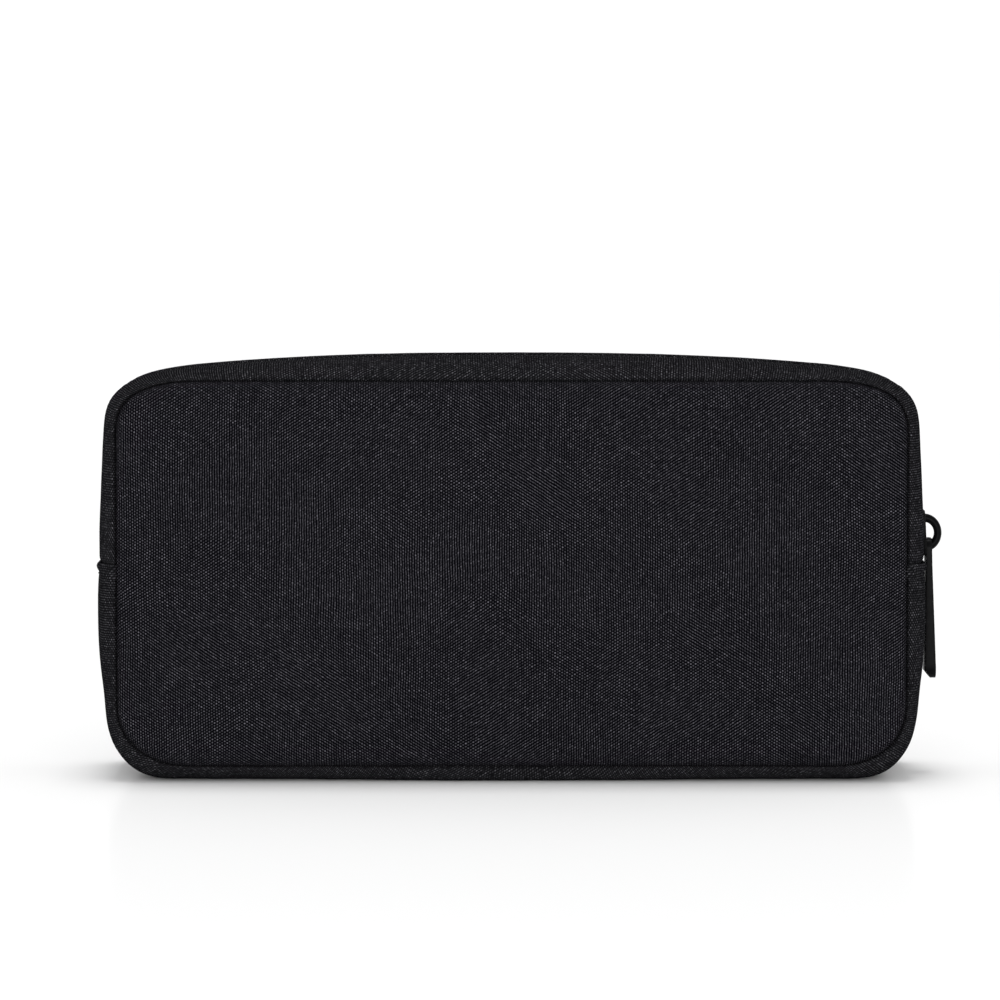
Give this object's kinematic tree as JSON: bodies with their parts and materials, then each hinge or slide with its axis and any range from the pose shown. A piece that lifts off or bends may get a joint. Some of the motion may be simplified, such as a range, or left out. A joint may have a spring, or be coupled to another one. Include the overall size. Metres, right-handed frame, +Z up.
{
  "type": "cable organizer pouch",
  "caption": "Rounded rectangular fabric pouch standing on its gusset, closed by a zip over the top with a long metal pull tab, with a mesh pocket and cable loops inside.",
  "frame": {"origin": "middle of the flat bottom of the lower gusset", "axes": "+X across the pouch towards the zip slider, +Y from the front panel to the back panel, +Z up"},
  "size_m": [0.2447, 0.058, 0.1218],
  "materials": {
    "cloth": "matte black plain-woven cloth",
    "foam": "dark grey padding",
    "lining": "dark grey smooth lining cloth",
    "tape": "black woven zip tape",
    "coil": "black nylon coil",
    "binding": "black binding tape",
    "mesh": "black knitted mesh",
    "elastic": "black ribbed elastic",
    "metal": "satin black coated metal"
  },
  "bodies": {
    "shell": {"back_panel": "cloth", "front_panel_lower": "cloth", "front_panel_fold": "cloth", "lower_gusset": "cloth", "back_zip_strip": "cloth", "front_strip_end_left": "cloth", "front_strip_end_right": "cloth", "front_strip_fold_left": "cloth", "front_strip_fold_right": "cloth", "back_foam": "foam", "front_foam_lower": "foam", "back_lining": "lining", "front_lining_lower": "lining", "front_lining_fold": "lining", "lower_gusset_lining": "lining", "back_zip_tape": "tape", "front_tape_end_left": "tape", "front_tape_end_right": "tape", "back_zip_coil": "coil", "front_coil_end_left": "coil", "front_coil_end_right": "coil", "back_seam_binding": "binding", "front_seam_binding_lower": "binding", "mesh_pocket": "mesh", "pocket_hem": "elastic", "cable_loop_band": "elastic", "zip_stop_left": "metal", "zip_stop_right": "metal"},
    "front_flap": {"front_panel_upper": "cloth", "front_foam_upper": "foam", "front_lining_upper": "lining", "front_seam_binding_upper": "binding", "front_zip_strip": "cloth", "front_zip_tape": "tape", "front_zip_coil": "coil"},
    "slider": {"zip_slider": "metal"},
    "pull": {"pull_tab": "metal"}
  },
  "joints": [
    {"name": "flap_fold", "type": "hinge", "parent": "shell", "child": "front_flap", "pos_m": [0, -0.014, 0.08], "axis": [1, 0, 0], "range_deg": [0, 40], "deforming": ["front_panel_fold", "front_lining_fold", "front_strip_fold_left", "front_strip_fold_right"]},
    {"name": "slider_slide", "type": "slide", "parent": "shell", "child": "slider", "axis": [-0.0334, 0, 0.9994], "range_m": [0, 0.018]},
    {"name": "pull_swing", "type": "hinge", "parent": "slider", "child": "pull", "pos_m": [0.1214, 0, 0.06842], "axis": [0, -1, 0], "range_deg": [0, 135]}
  ]
}
